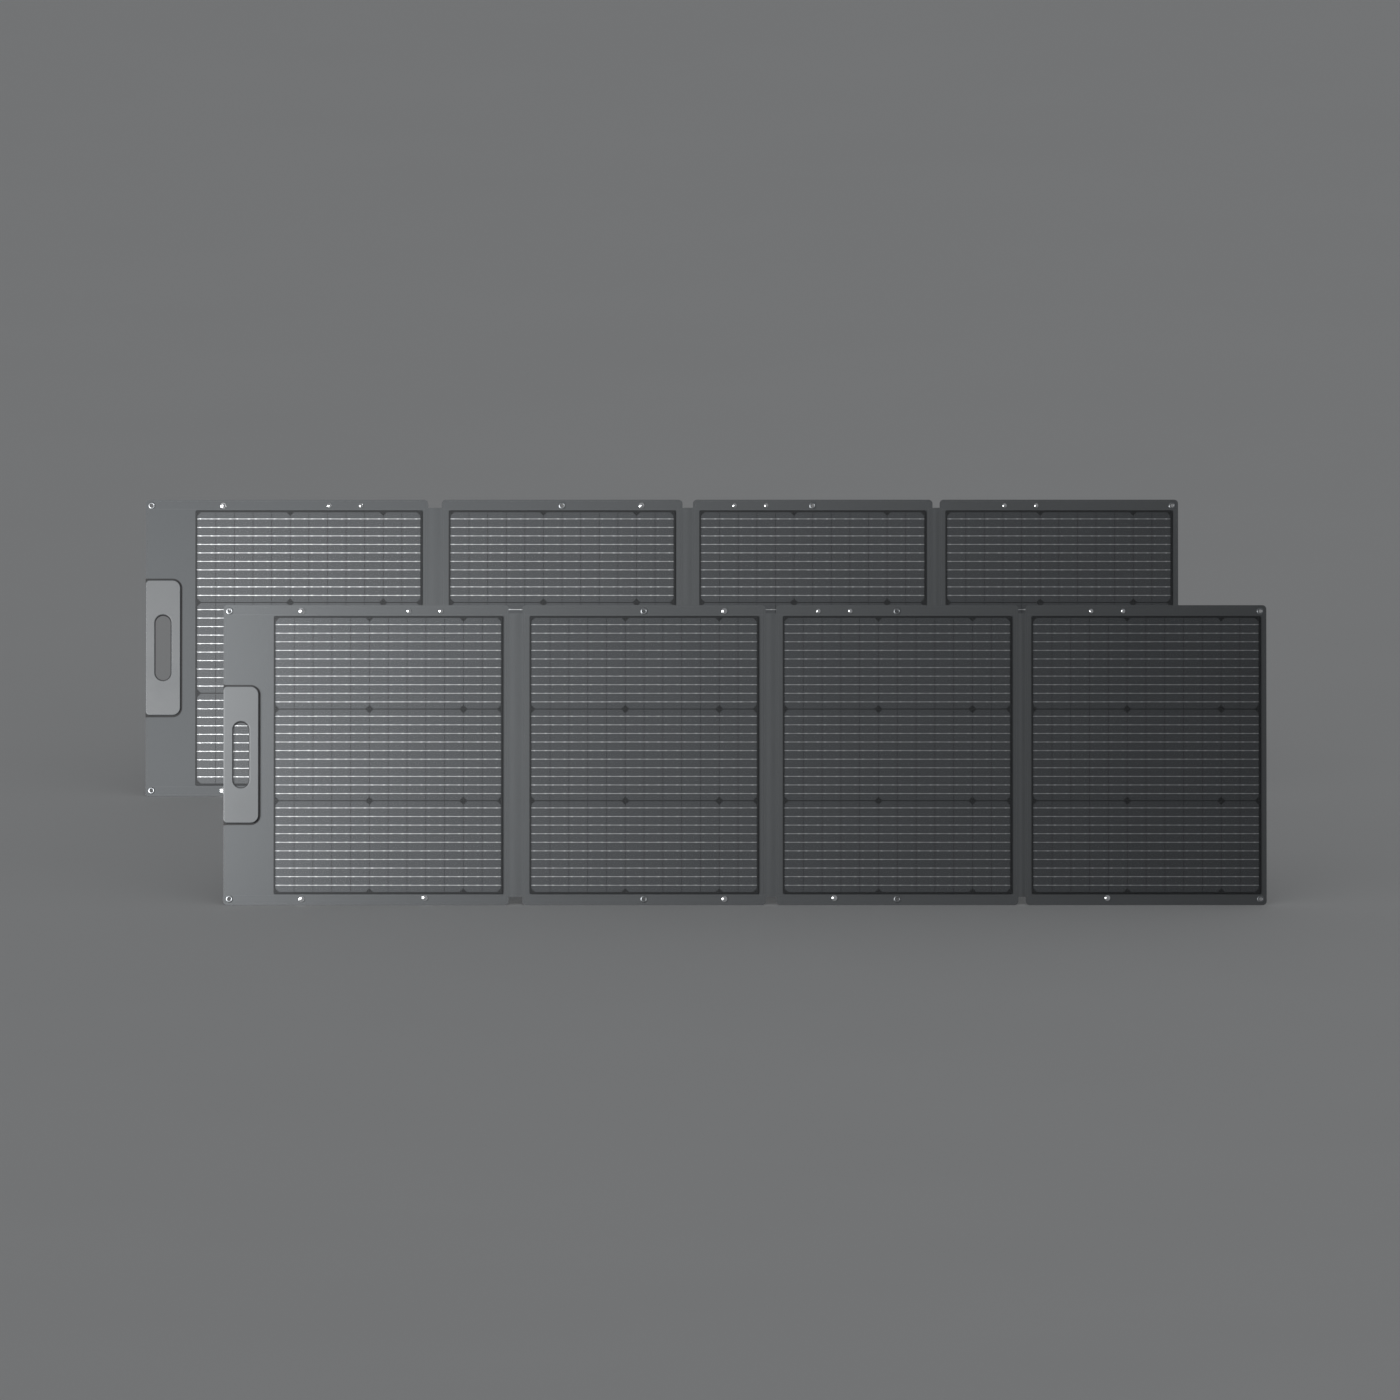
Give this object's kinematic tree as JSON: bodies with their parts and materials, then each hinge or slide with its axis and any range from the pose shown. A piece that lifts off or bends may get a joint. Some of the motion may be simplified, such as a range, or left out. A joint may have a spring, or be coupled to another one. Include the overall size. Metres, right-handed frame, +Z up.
{
  "type": "folding solar panel kit",
  "caption": "Pair of folding canvas solar panels with carrying handles, shown open and leaning on back stands.",
  "frame": {"origin": "middle of the kit's footprint, on the ground", "axes": "+X along the panels from the handle end, -Y the way they face, +Z up"},
  "size_m": [2.241, 1.4504, 0.5728],
  "materials": {
    "canvas": "matt woven, dark grey",
    "board": "matt laminate",
    "cells": "dark silicon under film",
    "stud_metal": "polished",
    "eyelet_metal": "dull steel",
    "handle_plastic": "satin",
    "stand_board": "board sewn in canvas",
    "box_plastic": "fine grain"
  },
  "bodies": {
    "front_leaf_1": {"front_canvas_1": "canvas", "front_board_1": "board", "front_cells_1": "cells", "front_studs_1": "stud_metal", "front_eyelets_1": "eyelet_metal", "front_handle_front": "handle_plastic", "front_handle_back": "handle_plastic"},
    "front_leaf_2": {"front_canvas_2": "canvas", "front_board_2": "board", "front_cells_2": "cells", "front_studs_2": "stud_metal", "front_eyelets_2": "eyelet_metal", "front_junction_box": "box_plastic", "front_junction_lid": "box_plastic"},
    "front_leaf_3": {"front_canvas_3": "canvas", "front_board_3": "board", "front_cells_3": "cells", "front_studs_3": "stud_metal", "front_eyelets_3": "eyelet_metal"},
    "front_leaf_4": {"front_canvas_4": "canvas", "front_board_4": "board", "front_cells_4": "cells", "front_studs_4": "stud_metal", "front_eyelets_4": "eyelet_metal"},
    "front_fold_a": {"front_fold_a": "canvas"},
    "front_fold_b": {"front_fold_b": "canvas"},
    "front_fold_c": {"front_fold_c": "canvas"},
    "front_stand_1": {"front_stand_1": "stand_board"},
    "front_stand_3": {"front_stand_3": "stand_board"},
    "front_stand_4": {"front_stand_4": "stand_board"},
    "rear_leaf_1": {"rear_canvas_1": "canvas", "rear_board_1": "board", "rear_cells_1": "cells", "rear_studs_1": "stud_metal", "rear_eyelets_1": "eyelet_metal", "rear_handle_front": "handle_plastic", "rear_handle_back": "handle_plastic"},
    "rear_leaf_2": {"rear_canvas_2": "canvas", "rear_board_2": "board", "rear_cells_2": "cells", "rear_studs_2": "stud_metal", "rear_eyelets_2": "eyelet_metal", "rear_junction_box": "box_plastic", "rear_junction_lid": "box_plastic"},
    "rear_leaf_3": {"rear_canvas_3": "canvas", "rear_board_3": "board", "rear_cells_3": "cells", "rear_studs_3": "stud_metal", "rear_eyelets_3": "eyelet_metal"},
    "rear_leaf_4": {"rear_canvas_4": "canvas", "rear_board_4": "board", "rear_cells_4": "cells", "rear_studs_4": "stud_metal", "rear_eyelets_4": "eyelet_metal"},
    "rear_fold_a": {"rear_fold_a": "canvas"},
    "rear_fold_b": {"rear_fold_b": "canvas"},
    "rear_fold_c": {"rear_fold_c": "canvas"},
    "rear_stand_1": {"rear_stand_1": "stand_board"},
    "rear_stand_3": {"rear_stand_3": "stand_board"},
    "rear_stand_4": {"rear_stand_4": "stand_board"}
  },
  "joints": [
    {"name": "front_crease_a_near", "type": "hinge", "parent": "front_leaf_2", "child": "front_fold_a", "pos_m": [-0.36, -0.63217, 0.28652], "axis": [0, 0.309, 0.9511], "range_deg": [0, 90]},
    {"name": "front_crease_a_far", "type": "hinge", "parent": "front_fold_a", "child": "front_leaf_1", "pos_m": [-0.387, -0.63217, 0.28652], "axis": [0, 0.309, 0.9511], "range_deg": [0, 90]},
    {"name": "front_crease_b_near", "type": "hinge", "parent": "front_leaf_2", "child": "front_fold_b", "pos_m": [0.1245, -0.63217, 0.28652], "axis": [0, -0.309, -0.9511], "range_deg": [0, 90]},
    {"name": "front_crease_b_far", "type": "hinge", "parent": "front_fold_b", "child": "front_leaf_3", "pos_m": [0.145, -0.63217, 0.28652], "axis": [0, -0.309, -0.9511], "range_deg": [0, 90]},
    {"name": "front_crease_c_near", "type": "hinge", "parent": "front_leaf_3", "child": "front_fold_c", "pos_m": [0.627, -0.63217, 0.28652], "axis": [0, -0.309, -0.9511], "range_deg": [0, 90]},
    {"name": "front_crease_c_far", "type": "hinge", "parent": "front_fold_c", "child": "front_leaf_4", "pos_m": [0.641, -0.63217, 0.28652], "axis": [0, -0.309, -0.9511], "range_deg": [0, 90]},
    {"name": "front_stand_1_hinge", "type": "hinge", "parent": "front_leaf_1", "child": "front_stand_1", "pos_m": [-0.55375, -0.54581, 0.54971], "axis": [-1, 0, 0], "range_deg": [0, 25.11]},
    {"name": "front_stand_3_hinge", "type": "hinge", "parent": "front_leaf_3", "child": "front_stand_3", "pos_m": [0.261, -0.54581, 0.54971], "axis": [-1, 0, 0], "range_deg": [0, 25.11]},
    {"name": "front_stand_4_hinge", "type": "hinge", "parent": "front_leaf_4", "child": "front_stand_4", "pos_m": [0.80375, -0.54581, 0.54971], "axis": [-1, 0, 0], "range_deg": [0, 25.11]},
    {"name": "rear_crease_a_near", "type": "hinge", "parent": "rear_leaf_2", "child": "rear_fold_a", "pos_m": [-0.526, 0.56783, 0.28652], "axis": [0, 0.309, 0.9511], "range_deg": [0, 90]},
    {"name": "rear_crease_a_far", "type": "hinge", "parent": "rear_fold_a", "child": "rear_leaf_1", "pos_m": [-0.553, 0.56783, 0.28652], "axis": [0, 0.309, 0.9511], "range_deg": [0, 90]},
    {"name": "rear_crease_b_near", "type": "hinge", "parent": "rear_leaf_2", "child": "rear_fold_b", "pos_m": [-0.0415, 0.56783, 0.28652], "axis": [0, -0.309, -0.9511], "range_deg": [0, 90]},
    {"name": "rear_crease_b_far", "type": "hinge", "parent": "rear_fold_b", "child": "rear_leaf_3", "pos_m": [-0.021, 0.56783, 0.28652], "axis": [0, -0.309, -0.9511], "range_deg": [0, 90]},
    {"name": "rear_crease_c_near", "type": "hinge", "parent": "rear_leaf_3", "child": "rear_fold_c", "pos_m": [0.461, 0.56783, 0.28652], "axis": [0, -0.309, -0.9511], "range_deg": [0, 90]},
    {"name": "rear_crease_c_far", "type": "hinge", "parent": "rear_fold_c", "child": "rear_leaf_4", "pos_m": [0.475, 0.56783, 0.28652], "axis": [0, -0.309, -0.9511], "range_deg": [0, 90]},
    {"name": "rear_stand_1_hinge", "type": "hinge", "parent": "rear_leaf_1", "child": "rear_stand_1", "pos_m": [-0.71975, 0.65419, 0.54971], "axis": [-1, 0, 0], "range_deg": [0, 25.11]},
    {"name": "rear_stand_3_hinge", "type": "hinge", "parent": "rear_leaf_3", "child": "rear_stand_3", "pos_m": [0.095, 0.65419, 0.54971], "axis": [-1, 0, 0], "range_deg": [0, 25.11]},
    {"name": "rear_stand_4_hinge", "type": "hinge", "parent": "rear_leaf_4", "child": "rear_stand_4", "pos_m": [0.63775, 0.65419, 0.54971], "axis": [-1, 0, 0], "range_deg": [0, 25.11]},
    {"name": "rear_unit_carry", "type": "slide", "parent": "front_leaf_2", "child": "rear_leaf_2", "axis": [0, 1, 0], "range_m": [0, 0.5]}
  ]
}
